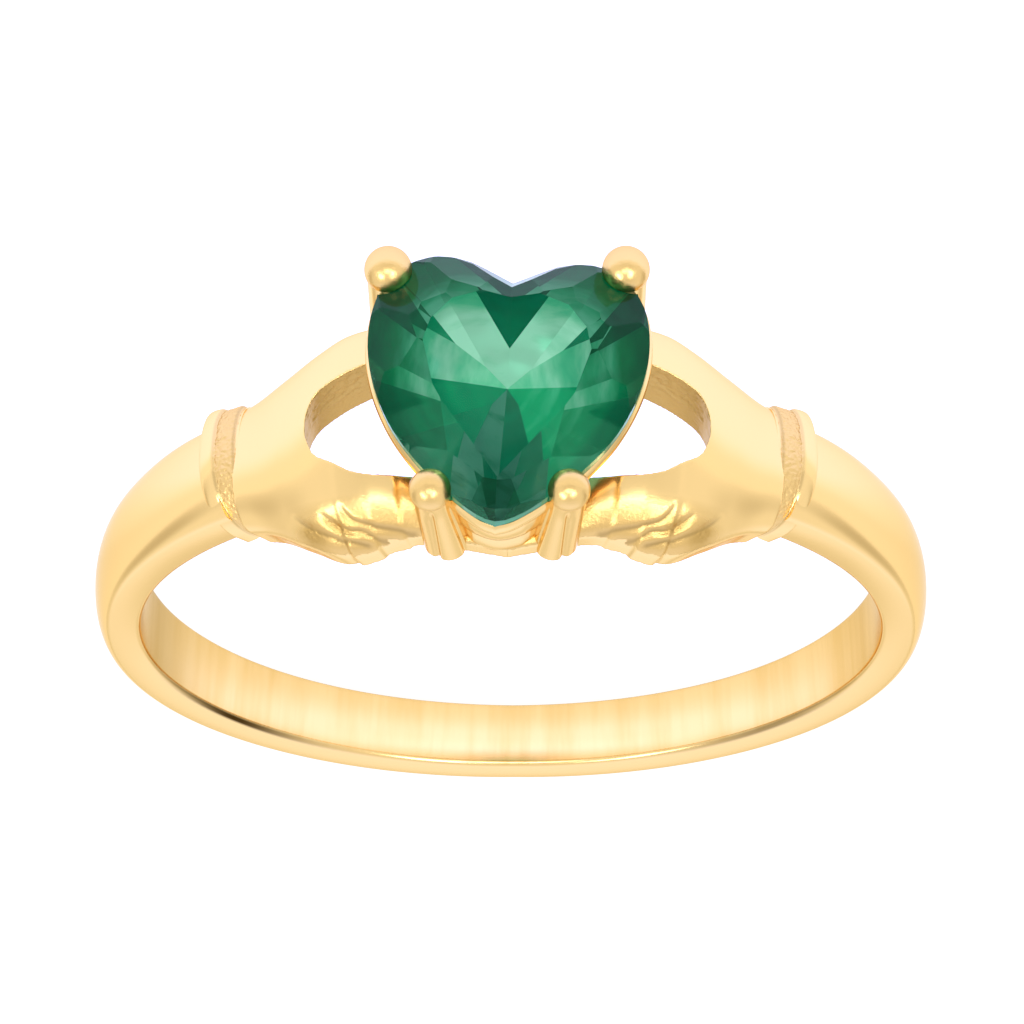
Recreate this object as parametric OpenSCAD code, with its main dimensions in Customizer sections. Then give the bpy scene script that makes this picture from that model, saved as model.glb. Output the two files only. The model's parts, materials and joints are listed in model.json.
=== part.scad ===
// Claddagh ring: two cast hands reach out of their cuffs and hold a heart-cut
// stone, which sits in a basket of rails under four bead-ended prongs.
// Millimetres. The ring is built upright, with the finger along Y, the stone at
// the top (+Z) and the heart's tip towards -Y, and is then laid on its side.

/* [Finger hole] */
// Inside diameter of the hoop
hole_d = 16.5; // [16:0.1:18]

/* [Band] */
// Width of the band opposite the stone
band_w = 1.55; // [1.4:0.05:1.9]
// Width of the band where it runs into the cuffs
shoulder_w = 2.3; // [2.1:0.05:2.5]
// Thickness of the band opposite the stone
band_t = 1.05; // [0.95:0.05:1.2]
// Thickness of the band where it runs into the cuffs
shoulder_t = 1.35; // [1.2:0.05:1.5]
// Part of the thickness that is straight side below the rounded crown
side_share = 0.66; // [0.5:0.02:0.75]

/* [Cuffs] */
// Angle from the stone to the outer edge of each cuff, in degrees
cuff_angle = 43.6; // [42:0.2:45]
// Length of each cuff along the band: half plain roll, half sunk ring
cuff_l = 1; // [0.8:0.05:1.1]
// How far the roll stands above the band
cuff_rise = 0.16; // [0.1:0.02:0.24]
// How far the roll stands out at the side of the lobes
cuff_flare = 0.28; // [0.2:0.02:0.34]

/* [Hands] */
// Height of the back of the hand above the finger hole
hand_t = 1.9; // [1.7:0.05:2.1]
// Reach of the fingers towards the heart's tip, from the middle of the band
hand_front = 2.65; // [2.5:0.05:2.8]
// Reach of the thumb towards the lobes, from the middle of the band
hand_back = 2.3; // [2.2:0.05:2.4]
// Half length of the open space between a wrist and the other one
opening_half = 4.35; // [4.2:0.05:4.5]
// Thickness of the forefinger
finger_d = 0.7; // [0.6:0.05:0.8]

/* [Stone] */
// Width of the heart across its lobes
stone_w = 6; // [5.6:0.1:6.2]
// Length of the heart from tip to lobes
stone_l = 6.1; // [5.8:0.1:6.3]
// Height of the table above the girdle
crown_h = 0.9; // [0.7:0.05:1]
// Depth of the pavilion below the girdle
pavilion_h = 2.4; // [2:0.05:2.5]
// Height of the girdle above the finger hole
girdle_lift = 2.9; // [2.8:0.05:3.1]

/* [Setting] */
// Diameter of the beads at the lobes
bead_d = 1.03; // [0.95:0.02:1.09]
// Diameter of a prong's post at its foot
post_d = 0.78; // [0.7:0.02:0.86]
// Height of the beads' middle above the girdle
bead_lift = 0.3; // [0.2:0.05:0.4]
// Height of the rail under the girdle
rail_h = 0.42; // [0.35:0.01:0.5]
// Gap between the metal and the stone
seat_gap = 0.04; // [0.02:0.01:0.06]

/* [Hidden] */
$fn = 32;
hole_r = hole_d / 2;
girdle_z = hole_r + girdle_lift;
gold = [0.94, 0.79, 0.5];
emerald = [0.06, 0.5, 0.33];
// How far the rough hoop reaches into the hole before it is bored
bore_stock = 0.4;
bore_len = 9;
// Inner edge of every rail, in shares of the heart's outline
rail_inner = 0.74;
// How far the top rail lies below the girdle's edge
rail_drop = 0.06;
// Thickness of a post under its bead, in shares of the bead's
post_top = 0.96;
// How pointed the band's crown is; 2 is an ellipse
crown_power = 2.3;
crown_steps = 10;
// How far the cuff stands out at the side of the tip, in shares of cuff_flare
flare_front = 0.55;

// Band: angle from the stone, share of the way from the narrow foot to the shoulder
// in width, and the same in thickness.
BAND = [
    [30, 1, 1.05],
    [46, 1, 1],
    [65, 0.78, 0.3],
    [90, 0.52, -0.05],
    [135, 0.14, 0.35],
    [180, 0, 0]
];

// Hand: angle from the stone, then shares of the hand's front reach, back reach and
// height: front edge, back edge, height at the front edge, at the back edge and at the
// crest, and last the crest's place from front (0) to back (1).
HAND = [
    [0, 1, 0.92, 0.22, 0.3, 0.42, 0.5],
    [6, 0.94, 0.93, 0.24, 0.34, 0.46, 0.5],
    [12, 0.9, 0.98, 0.22, 0.6, 0.76, 0.62],
    [16, 0.91, 1, 0.2, 0.74, 0.94, 0.68],
    [20.5, 0.93, 0.955, 0.18, 0.76, 1, 0.68],
    [25, 0.91, 0.845, 0.18, 0.7, 0.99, 0.66],
    [30, 0.77, 0.7, 0.24, 0.58, 0.88, 0.6],
    [36, 0.6, 0.57, 0.34, 0.5, 0.76, 0.54],
    [44, 0.5, 0.5, 0.42, 0.48, 0.7, 0.5]
];

// Cuff from the wrist to the band: place as a share of the cuff's length, then shares
// of its rise and of its flare.
CUFF = [
    [0, 0.33, 0.5],
    [0.46, 0.33, 0.5],
    [0.5, 0.8, 0.85],
    [0.75, 1, 1],
    [0.96, 0.8, 0.85]
];

// Opening between the hands: share of its half length, then of the hand's front
// reach and of its back reach.
OPENING = [
    [0, 0.56, 0.66],
    [0.54, 0.525, 0.63],
    [0.74, 0.45, 0.54],
    [0.87, 0.36, 0.43],
    [0.95, 0.24, 0.32],
    [0.99, 0.1, 0.17]
];

// Forefinger and three lower fingers: knuckle, then tip, each as shares of the
// opening's half length and of the hand's front reach and a height above the hole in
// shares of the hand's, and last the thickness in shares of the forefinger's.
FINGERS = [
    [0.9, 0.46, 0.3, 0.46, 0.69, 0.44, 1],
    [0.84, 0.66, 0.24, 0.44, 0.8, 0.37, 0.76],
    [0.86, 0.78, 0.1, 0.52, 0.855, 0.25, 0.7],
    [0.84, 0.84, 0.02, 0.62, 0.89, 0.12, 0.62]
];

// Heart's half outline from tip to notch: shares of the stone's half width and of
// its length, measured from the line through its widest place.
HEART = [
    [0, -0.667],
    [0.14, -0.64],
    [0.36, -0.56],
    [0.6, -0.447],
    [0.8, -0.318],
    [0.94, -0.165],
    [1, 0],
    [0.96, 0.16],
    [0.82, 0.27],
    [0.63, 0.325],
    [0.44, 0.333],
    [0.24, 0.305],
    [0.1, 0.265],
    [0, 0.237]
];
// Where the heart's widest place lies, towards the lobes from the middle of the band
heart_shift = 0.15 * stone_l;

// Prongs: place of the bead, then of the post's foot, in shares of the stone's half
// width and of its length, the foot's height in shares of the girdle's above the
// finger hole, and the bead's size in shares of bead_d.
PRONGS = [
    [0.845, 0.305, 0.8, 0.17, 0.31, 1],
    [0.49, -0.55, 0.4, -0.5, 0.035, 0.88]
];

function slope(t, i, c) =
    let (p = max(i - 1, 0), n = min(i + 1, len(t) - 1))
    (t[n][c] - t[p][c]) / (t[n][0] - t[p][0]);
function row_at(t, a, i = 0) = i >= len(t) - 2 || a <= t[i + 1][0] ? i : row_at(t, a, i + 1);
function read_row(t, i, a, c) =
    let (w = t[i + 1][0] - t[i][0], s = (a - t[i][0]) / w)
    (2 * s^3 - 3 * s^2 + 1) * t[i][c] + (s^3 - 2 * s^2 + s) * w * slope(t, i, c)
    + (3 * s^2 - 2 * s^3) * t[i + 1][c] + (s^3 - s^2) * w * slope(t, i + 1, c);
// Smooth value of column c of table t at a
function read(t, a, c) = read_row(t, row_at(t, a), a, c);

// Section of the band or the hand at angle a:
// [front edge, back edge, front height, back height, crest height, crest place]
function band_row(a) =
    let (w = band_w + (shoulder_w - band_w) * read(BAND, a, 1),
         t = band_t + (shoulder_t - band_t) * read(BAND, a, 2))
    [-w / 2, w / 2, side_share * t, side_share * t, t, 0.5];
function hand_row(a) = [
    -hand_front * read(HAND, a, 1),
    hand_back * read(HAND, a, 2),
    hand_t * read(HAND, a, 3),
    hand_t * read(HAND, a, 4),
    hand_t * read(HAND, a, 5),
    read(HAND, a, 6)
];
function cuff_row(c) =
    let (r = band_row(cuff_angle), rise = c[1] * cuff_rise, flare = c[2] * cuff_flare)
    [r[0] - flare_front * flare, r[1] + flare, r[2] + rise, r[3] + rise, r[4] + rise, r[5]];

function crest(u) = pow(max(1 - pow(u, crown_power), 0), 1 / crown_power);
function crown_height(r, q) =
    q < r[5]
    ? r[2] + (r[4] - r[2]) * crest((r[5] - q) / r[5])
    : r[3] + (r[4] - r[3]) * crest((q - r[5]) / (1 - r[5]));
// Points [across, above the hole] from the front's foot over the crown to the back's
function section(r) = concat(
    [[r[0], -bore_stock]],
    [for (k = [0:crown_steps])
        let (q = (1 - cos(180 * k / crown_steps)) / 2)
        [r[0] + (r[1] - r[0]) * q, crown_height(r, q)]],
    [[r[1], -bore_stock]]
);

// Stations from the stone down to the foot: angle, then the section there
cuff_arc = cuff_l * 360 / (2 * PI * (hole_r + shoulder_t));
wrist_angle = cuff_angle - 1.04 * cuff_arc;
HALF = concat(
    [for (a = [0:2:wrist_angle - 2]) [a, hand_row(a)]],
    [[wrist_angle, hand_row(wrist_angle)]],
    [for (c = CUFF) [cuff_angle - (1 - c[0]) * cuff_arc, cuff_row(c)]],
    [[cuff_angle, band_row(cuff_angle)]],
    [for (a = [48:6:180]) [a, band_row(a)]]
);
last = len(HALF) - 1;
STATIONS = concat(HALF, [for (i = [last - 1:-1:1]) [-HALF[i][0], HALF[i][1]]]);

function around(a, p) = [(hole_r + p[1]) * sin(a), p[0], (hole_r + p[1]) * cos(a)];

// Band, cuffs and hands in one closed sweep around the finger
module hoop() {
    sides = crown_steps + 3;
    count = len(STATIONS);
    points = [for (s = STATIONS) for (p = section(s[1])) around(s[0], p)];
    faces = [
        for (i = [0:count - 1])
            for (j = [0:sides - 1])
                let (a = i * sides + j, b = i * sides + (j + 1) % sides,
                     c = (i + 1) % count * sides + (j + 1) % sides, d = (i + 1) % count * sides + j)
                for (f = [[a, c, d], [a, b, c]]) f
    ];
    polyhedron(points, faces);
}

// The space that the two hands enclose, open from the stone down to the finger
module opening() {
    front = [for (r = OPENING) [r[0] * opening_half, -r[1] * hand_front]];
    back = [for (i = [len(OPENING) - 1:-1:0]) [OPENING[i][0] * opening_half, OPENING[i][2] * hand_back]];
    half = concat(front, [[opening_half, 0.02 * hand_back]], back);
    for (m = [0, 1])
        mirror([m, 0, 0])
            linear_extrude(height = girdle_z)
                polygon(half);
}

function heart(grow = 0) =
    let (w = stone_w / 2 + grow, l = stone_l + grow, n = len(HEART))
    concat(
        [for (p = HEART) [p[0] * w, p[1] * l + heart_shift]],
        [for (i = [n - 2:-1:1]) [-HEART[i][0] * w, HEART[i][1] * l + heart_shift]]
    );

// One frame of the basket: the heart's outline, shrunk about its middle
module rail(z, h, outer, inner) {
    translate([0, 0, z])
        linear_extrude(height = h)
            difference() {
                scale([outer, outer])
                    polygon(heart());
                scale([inner, inner])
                    polygon(heart());
            }
}

// Rails stacked below the heart's tip, and the thin wall that closes the basket there:
// height above the hole and height of the rail, both in shares of the girdle's height
// above the hole, then the share of the outline.
TIP_RAILS = [
    [0.07, 0.29, 0.885],
    [0.41, 0.35, 0.945],
    [0.07, 0.76, 0.85]
];
module tip_rails() {
    foot = [PRONGS[1][2] * stone_w / 2, PRONGS[1][3] * stone_l + heart_shift];
    intersection() {
        for (t = TIP_RAILS)
            rail(hole_r + t[0] * girdle_lift, t[1] * girdle_lift, t[2], rail_inner);
        translate([-foot[0], -stone_l, hole_r])
            cube([2 * foot[0], stone_l + foot[1] + post_d / 2, girdle_lift]);
    }
}

// A finger is a rod of eight sides with rounded ends. Rings of corners: the end that
// the ring is counted from (knuckle 0, tip 1), how far past it the ring lies in
// thicknesses, and the ring's size in thicknesses.
FINGER_RINGS = [
    [0, -0.46, 0.3],
    [0, -0.3, 0.78],
    [0, 0, 1],
    [1, 0, 0.94],
    [1, 0.3, 0.72],
    [1, 0.44, 0.28]
];
finger_sides = 8;
function finger_point(x, y, z) = [x * opening_half, -y * hand_front, hole_r + z * hand_t];
module finger(f) {
    knuckle = finger_point(f[0], f[1], f[2]);
    tip = finger_point(f[3], f[4], f[5]);
    d = f[6] * finger_d;
    run = tip - knuckle;
    n = finger_sides;
    last_ring = len(FINGER_RINGS) - 1;
    points = [
        for (r = FINGER_RINGS)
            for (k = [0:n - 1])
                let (a = 360 * k / n, size = r[2] * d / 2)
                [size * cos(a), size * sin(a), r[0] * norm(run) + r[1] * d]
    ];
    faces = concat(
        [[for (k = [0:n - 1]) k]],
        [for (i = [0:last_ring - 1])
            for (k = [0:n - 1])
                let (a = i * n + k, b = i * n + (k + 1) % n)
                for (t = [[a, a + n, b + n], [a, b + n, b]]) t],
        [[for (k = [n - 1:-1:0]) last_ring * n + k]]
    );
    translate(knuckle)
        rotate([0, acos(run[2] / norm(run)), atan2(run[1], run[0])])
            polyhedron(points, faces);
}

module prong(p) {
    bead = [p[0] * stone_w / 2, p[1] * stone_l + heart_shift, girdle_z + bead_lift];
    foot = [p[2] * stone_w / 2, p[3] * stone_l + heart_shift, hole_r + p[4] * girdle_lift];
    run = bead - foot;
    translate(bead)
        sphere(d = p[5] * bead_d);
    translate(foot)
        rotate([0, acos(run[2] / norm(run)), atan2(run[1], run[0])])
            cylinder(d1 = post_d, d2 = post_top * p[5] * bead_d, h = norm(run));
}

// Stone: rings of facet corners from the keel to the table, each as a share of the
// outline, then a share of the pavilion's depth (below 0) or of the crown's height
STONE_RINGS = [
    [0.12, -1],
    [1, -0.04],
    [1, 0.1],
    [0.6, 1]
];
girdle_half = 0.04 * pavilion_h;
function ring_height(r) = r[1] < 0 ? r[1] * pavilion_h : r[1] * crown_h;
module heart_solid(grow = 0) {
    outline = heart(grow);
    n = len(outline);
    top = (len(STONE_RINGS) - 1) * n;
    points = [
        for (r = STONE_RINGS)
            for (p = outline)
                [p[0] * r[0], p[1] * r[0], girdle_z + ring_height(r) + (r[1] < 0 ? -grow : grow)]
    ];
    faces = concat(
        [[for (i = [0:n - 1]) i]],
        [for (k = [0:len(STONE_RINGS) - 2])
            for (i = [0:n - 1])
                let (a = k * n + i, b = k * n + (i + 1) % n)
                for (f = [[a, a + n, b + n], [a, b + n, b]]) f],
        [[for (i = [n - 1:-1:0]) top + i]]
    );
    polyhedron(points, faces);
}

// Lying pose: the ring rests on the beads at the lobes and on the foot of the band,
// heart's tip up and stone towards -Y. The floor line is the tangent from the foot's
// section to the bead.
bead_at = [PRONGS[0][1] * stone_l + heart_shift, girdle_z + bead_lift];
function floor_tilt(p) =
    let (run = [bead_at[1] + hole_r + p[1], bead_at[0] - p[0]])
    atan2(run[1], run[0]) + asin(bead_d / 2 / norm(run));
rest_tilt = min([for (p = section(band_row(180))) if (p[0] > 0) floor_tilt(p)]);
rest_lift = bead_d / 2 + bead_at[0] * cos(rest_tilt) - bead_at[1] * sin(rest_tilt);
head_reach = bead_d / 2 + bead_at[1] * cos(rest_tilt) + bead_at[0] * sin(rest_tilt);
foot_reach = (hole_r + band_t) * cos(rest_tilt);
module lay() {
    translate([0, (head_reach - foot_reach) / 2, rest_lift])
        rotate([-rest_tilt, 0, 0])
            rotate([90, 180, 0])
                children();
}

module ring() {
    color(gold)
        difference() {
            union() {
                difference() {
                    hoop();
                    opening();
                }
                rail(girdle_z - girdle_half - rail_drop - rail_h, rail_h, 1, rail_inner);
                tip_rails();
                for (m = [0, 1])
                    mirror([m, 0, 0]) {
                        for (p = PRONGS)
                            prong(p);
                        for (f = FINGERS)
                            finger(f);
                    }
            }
            heart_solid(seat_gap);
            rotate([90, 0, 0])
                cylinder(r = hole_r, h = bore_len, center = true, $fn = 120);
        }
}

module stone() {
    color(emerald)
        heart_solid();
}

lay() ring();
lay() stone();
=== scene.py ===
"""Dresses the claddagh ring: polished yellow gold, as-cast recesses and a heart-cut stone.

Every piece is modelled upright on a bench in millimetres, with the finger along Y, the
stone at the top (+Z) and the heart's tip towards -Y. It is then laid on its side where
the frame's finger hole is, in metres.
"""
import json
import logging
import math
from collections.abc import Callable, Iterator, Sequence
from contextlib import contextmanager
from dataclasses import dataclass
from enum import Enum

import bmesh
import bpy
import numpy as np
from mathutils import Matrix, Vector, noise


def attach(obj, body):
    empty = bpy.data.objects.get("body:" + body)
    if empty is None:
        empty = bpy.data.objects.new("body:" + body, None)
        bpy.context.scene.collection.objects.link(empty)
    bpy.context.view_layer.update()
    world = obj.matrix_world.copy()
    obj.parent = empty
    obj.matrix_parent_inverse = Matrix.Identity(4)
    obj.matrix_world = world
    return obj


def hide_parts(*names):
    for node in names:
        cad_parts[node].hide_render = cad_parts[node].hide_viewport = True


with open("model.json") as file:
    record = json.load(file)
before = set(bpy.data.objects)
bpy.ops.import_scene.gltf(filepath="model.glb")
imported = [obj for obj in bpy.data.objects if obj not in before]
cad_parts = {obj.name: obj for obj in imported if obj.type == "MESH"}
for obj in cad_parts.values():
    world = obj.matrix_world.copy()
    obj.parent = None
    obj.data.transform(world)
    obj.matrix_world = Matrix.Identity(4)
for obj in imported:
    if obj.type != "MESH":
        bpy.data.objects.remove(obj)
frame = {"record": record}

log = logging.getLogger("claddagh_ring")

MM = 0.001
Rows = Sequence[Sequence[float]]
Test = Callable[[np.ndarray], np.ndarray]
Piece = bpy.types.Object


class Slot(Enum):
    """Material slots of the record."""

    GOLD = "gold"
    EMERALD = "emerald"


class Node(Enum):
    """CAD solids that the pieces stand for."""

    RING = "ring"
    STONE = "stone"


# ---- curves and tables


def read_rows(rows: Rows, at: np.ndarray) -> np.ndarray:
    """Smooth values of a table between its rows.

    Args:
        rows: rows of a place followed by the values there, in rising place.
        at: places to read.

    Returns:
        One row of values for each place.
    """
    table = np.array(rows, float)
    x, y = table[:, 0], table[:, 1:]
    low = np.maximum(np.arange(len(x)) - 1, 0)
    high = np.minimum(np.arange(len(x)) + 1, len(x) - 1)
    slope = (y[high] - y[low]) / (x[high] - x[low])[:, None]
    at = np.clip(np.atleast_1d(np.asarray(at, float)), x[0], x[-1])
    i = np.clip(np.searchsorted(x, at, side="right") - 1, 0, len(x) - 2)
    w = (x[i + 1] - x[i])[:, None]
    s = ((at - x[i]) / w[:, 0])[:, None]
    return ((2 * s**3 - 3 * s**2 + 1) * y[i] + (s**3 - 2 * s**2 + s) * w * slope[i]
            + (3 * s**2 - 2 * s**3) * y[i + 1] + (s**3 - s**2) * w * slope[i + 1])


def even_path(points: np.ndarray, count: int, closed: bool = False) -> np.ndarray:
    """A smooth path through points, cut into even steps.

    Args:
        points: corner points in order.
        count: number of points to return.
        closed: whether the path runs back to its first point.

    Returns:
        The points along the path; a closed path doesn't repeat its first point.
    """
    p = np.asarray(points, float)
    ends = (p[-1:], p[:2]) if closed else (2 * p[0] - p[1], 2 * p[-1] - p[-2])
    padded = np.vstack([ends[0], p, ends[1]])
    t = np.linspace(0, 1, 24, endpoint=False)[:, None]
    runs = [0.5 * (2 * b + (c - a) * t + (2 * a - 5 * b + 4 * c - d) * t**2 + (3 * b - a - 3 * c + d) * t**3)
            for a, b, c, d in zip(padded, padded[1:], padded[2:], padded[3:])]
    fine = np.vstack([*runs, p[:1] if closed else p[-1:]])
    along = np.concatenate([[0], np.cumsum(np.linalg.norm(np.diff(fine, axis=0), axis=1))])
    places = np.linspace(0, along[-1], count, endpoint=not closed)
    return np.stack([np.interp(places, along, fine[:, k]) for k in range(p.shape[1])], -1)


def crown(q: np.ndarray, front: np.ndarray, back: np.ndarray, top: np.ndarray,
          place: np.ndarray, power: float = 2.3) -> np.ndarray:
    """Height of a rounded back over its width.

    Args:
        q: place across, from 0 at the tip's side to 1 at the lobes' side.
        front: height at 0.
        back: height at 1.
        top: height of the crest.
        place: where the crest lies.
        power: how full the rounding is; 2 is an ellipse.

    Returns:
        The height at each place.
    """
    before = q < place
    u = np.where(before, (place - q) / place, (q - place) / (1 - place))
    arch = np.clip(1 - np.clip(u, 0, 1) ** power, 0, 1) ** (1 / power)
    side = np.where(before, front, back)
    return side + (top - side) * arch


def bell(x: np.ndarray, middle: float, width: float) -> np.ndarray:
    """A smooth bump of height 1 about a middle."""
    return np.exp(-(((x - middle) / width) ** 2))


def fade(x: np.ndarray, start: float, end: float) -> np.ndarray:
    """Rises evenly from 0 at a start to 1 at an end, which may come first."""
    return np.clip((x - start) / (end - start), 0, 1)


def unit(v: np.ndarray) -> np.ndarray:
    """A vector's direction, with length 1."""
    return v / np.linalg.norm(v)


def angle_from_stone(p: np.ndarray) -> np.ndarray:
    """Angle of each point round the finger, in degrees from the stone on either side."""
    return np.degrees(np.arctan2(np.abs(p[:, 0]), p[:, 2]))


# ---- bench steps


def deselect() -> None:
    """Leaves nothing selected, in object mode."""
    if bpy.context.object is not None and bpy.context.object.mode != "OBJECT":
        bpy.ops.object.mode_set(mode="OBJECT")
    bpy.ops.object.select_all(action="DESELECT")


def only(*parts: Piece) -> None:
    """Selects these objects alone and makes the first one active.

    Args:
        parts: the objects.
    """
    deselect()
    for part in parts:
        part.select_set(True)
    bpy.context.view_layer.objects.active = parts[0]


def named(name: str) -> Piece:
    """Names the object that was just added.

    Args:
        name: its name.

    Returns:
        The object.
    """
    obj = bpy.context.object
    obj.name = obj.data.name = name
    return obj


def add_circle(name: str, count: int, radius: float = 1.0, fill: str = "NGON",
               rotation: Sequence[float] = (0, 0, 0)) -> Piece:
    """Adds a circle about the origin.

    Args:
        name: its name.
        count: how many vertices it has.
        radius: its radius.
        fill: NGON for a disc, NOTHING for a ring.
        rotation: how it is turned.

    Returns:
        The circle.
    """
    deselect()
    bpy.ops.mesh.primitive_circle_add(vertices=count, radius=radius, fill_type=fill, rotation=rotation)
    return named(name)


def select_all() -> None:
    """Selects everything, in edit mode."""
    bpy.ops.mesh.select_all(action="SELECT")


@contextmanager
def editing(obj: Piece) -> Iterator[None]:
    """Edit mode on one object, by vertices and with everything selected at first.

    Args:
        obj: the object.

    Yields:
        Nothing; the mode ends with the block.
    """
    only(obj)
    bpy.ops.object.mode_set(mode="EDIT")
    bpy.ops.mesh.select_mode(type="VERT")
    select_all()
    yield
    bpy.ops.object.mode_set(mode="OBJECT")


def pick(obj: Piece, test: Test) -> None:
    """Selects, in edit mode, the vertices that pass a test and what lies between.

    Args:
        obj: the object.
        test: tells, from all vertices' places, which are wanted.
    """
    bpy.ops.mesh.select_all(action="DESELECT")
    net = bmesh.from_edit_mesh(obj.data)
    chosen = test(np.array([v.co for v in net.verts]).reshape(-1, 3))
    for vertex, on in zip(net.verts, chosen):
        vertex.select = bool(on)
    net.select_flush(True)
    bmesh.update_edit_mesh(obj.data)


def select_open() -> None:
    """Selects the open edges, in edit mode."""
    bpy.ops.mesh.select_all(action="DESELECT")
    bpy.ops.mesh.select_non_manifold(extend=False)


def face_out() -> None:
    """Turns all faces outwards, in edit mode."""
    select_all()
    bpy.ops.mesh.normals_make_consistent(inside=False)


def extrude_up(z: float) -> None:
    """Extrudes what is selected along Z."""
    bpy.ops.mesh.extrude_region_move(TRANSFORM_OT_translate={"value": (0, 0, z)})


def spin(steps: int, degrees: float) -> None:
    """Spins what is selected round the finger."""
    bpy.ops.mesh.spin(steps=steps, angle=math.radians(degrees), center=(0, 0, 0), axis=(0, 1, 0))


def resize(x: float, y: float, z: float, about: Sequence[float] = (0, 0, 0)) -> None:
    """Scales what is selected about a point."""
    bpy.ops.transform.resize(value=(x, y, z), center_override=tuple(about))


def vectors(items: bpy.types.bpy_prop_collection, field: str) -> np.ndarray:
    """Reads a vector from each item of a mesh.

    Args:
        items: the mesh's vertices or normals.
        field: name of the vector.

    Returns:
        One row for each item.
    """
    flat = np.empty(len(items) * 3, np.float32)
    items.foreach_get(field, flat)
    return flat.reshape(-1, 3).astype(float)


def places_of(obj: Piece) -> np.ndarray:
    """Places of an object's vertices."""
    return vectors(obj.data.vertices, "co")


def normals_of(obj: Piece) -> np.ndarray:
    """Vertex normals of an object."""
    return vectors(obj.data.vertex_normals, "vector")


def put(obj: Piece, places: np.ndarray) -> None:
    """Moves an object's vertices to these places."""
    obj.data.vertices.foreach_set("co", places.astype(np.float32).ravel())
    obj.data.update()


def at_height(outline: np.ndarray, z: float) -> np.ndarray:
    """Places of a flat outline at a height."""
    return np.column_stack([outline, np.full(len(outline), z)])


def mark(obj: Piece, name: str, values: np.ndarray, domain: str = "POINT") -> None:
    """Keeps a number at each vertex or face, for a material to read."""
    layer = obj.data.attributes.get(name) or obj.data.attributes.new(name, "FLOAT", domain)
    layer.data.foreach_set("value", np.clip(values, 0, 1).astype(np.float32))


def apply_modifier(obj: Piece, kind: str, **settings: object) -> None:
    """Adds a modifier and applies it.

    Args:
        obj: the object.
        kind: type of the modifier.
        settings: its settings.
    """
    only(obj)
    modifier = obj.modifiers.new(kind.title(), kind)
    for key, value in settings.items():
        setattr(modifier, key, value)
    bpy.ops.object.modifier_apply(modifier=modifier.name)


def cut(obj: Piece, cutter: Piece) -> None:
    """Takes a cutter's shape out of an object, and the cutter away."""
    apply_modifier(obj, "BOOLEAN", operation="DIFFERENCE", solver="EXACT", object=cutter)
    bpy.data.objects.remove(cutter)


def mirror_x(obj: Piece) -> None:
    """Adds the other half of a piece that ends in the plane x = 0."""
    apply_modifier(obj, "MIRROR", use_axis=(True, False, False), use_clip=True, merge_threshold=0.002)


def join(parts: Sequence[Piece], name: str) -> Piece:
    """Joins parts into one object.

    Args:
        parts: the parts.
        name: the object's name.

    Returns:
        The object.
    """
    only(*parts)
    bpy.ops.object.join()
    return named(name)


def copy_of(obj: Piece, name: str) -> Piece:
    """Copies a piece with its own mesh.

    Args:
        obj: the piece.
        name: the copy's name.

    Returns:
        The copy.
    """
    only(obj)
    bpy.ops.object.duplicate(linked=False)
    return named(name)


def copy_across(obj: Piece, name: str) -> Piece:
    """Copies a piece as its mirror image across x = 0.

    Args:
        obj: the piece.
        name: the copy's name.

    Returns:
        The copy.
    """
    twin = copy_of(obj, name)
    with editing(twin):
        resize(-1, 1, 1)
        bpy.ops.mesh.flip_normals()
    return twin


def close_up(obj: Piece) -> None:
    """Fills open ends and turns all faces outwards.

    Args:
        obj: the piece.
    """
    with editing(obj):
        select_open()
        bpy.ops.mesh.fill_holes(sides=0)
        face_out()


def place_at(obj: Piece, start: Vector, end: Vector) -> None:
    """Turns a piece made along +Z so that it runs from one point to another.

    Args:
        obj: the piece.
        start: where its origin goes.
        end: where its Z axis points; its X axis turns towards the tip.
    """
    z, face = (end - start).normalized(), Vector((0, -1, 0))
    x = (face - z * face.dot(z)).normalized()
    turn = Matrix((x, z.cross(x), z)).transposed().to_4x4()
    obj.matrix_world = Matrix.Translation(start) @ turn
    only(obj)
    bpy.ops.object.transform_apply(location=True, rotation=True, scale=False)


# ---- finishes


def linear(code: str) -> tuple[float, float, float, float]:
    """Turns an sRGB colour into a linear one.

    Args:
        code: hex code such as F3CC83.

    Returns:
        Red, green, blue and alpha.
    """
    parts = [int(code[i:i + 2], 16) / 255 for i in (0, 2, 4)]
    r, g, b = (c / 12.92 if c <= 0.04045 else ((c + 0.055) / 1.055) ** 2.4 for c in parts)
    return (r, g, b, 1.0)


COLOURS = {"data_type": "RGBA"}
EASED = {"interpolation_type": "SMOOTHSTEP"}


def add_node(tree: bpy.types.NodeTree, kind: str, settings: dict[str, object] | str | None = None,
             **links: object) -> bpy.types.Node:
    """Adds a node with its settings and links.

    Args:
        tree: node tree of the material.
        kind: type of the node, without ShaderNode.
        settings: properties of the node itself, or the name of its operation.
        links: a value, an output socket or a node for each input, by name, with _ for a
            space; inN stands for input number N, and a node for its first output in use.

    Returns:
        The node.
    """
    node = tree.nodes.new("ShaderNode" + kind)
    if isinstance(settings, str):
        settings = {"operation": settings}
    for key, value in (settings or {}).items():
        setattr(node, key, value)
    for key, value in links.items():
        numbered = key.startswith("in") and key[2:].isdigit()
        socket = node.inputs[int(key[2:])] if numbered else node.inputs[key.replace("_", " ")]
        if isinstance(value, bpy.types.Node):
            value = next(output for output in value.outputs if output.enabled)
        if isinstance(value, bpy.types.NodeSocket):
            tree.links.new(value, socket)
        else:
            socket.default_value = value
    return node


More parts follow.
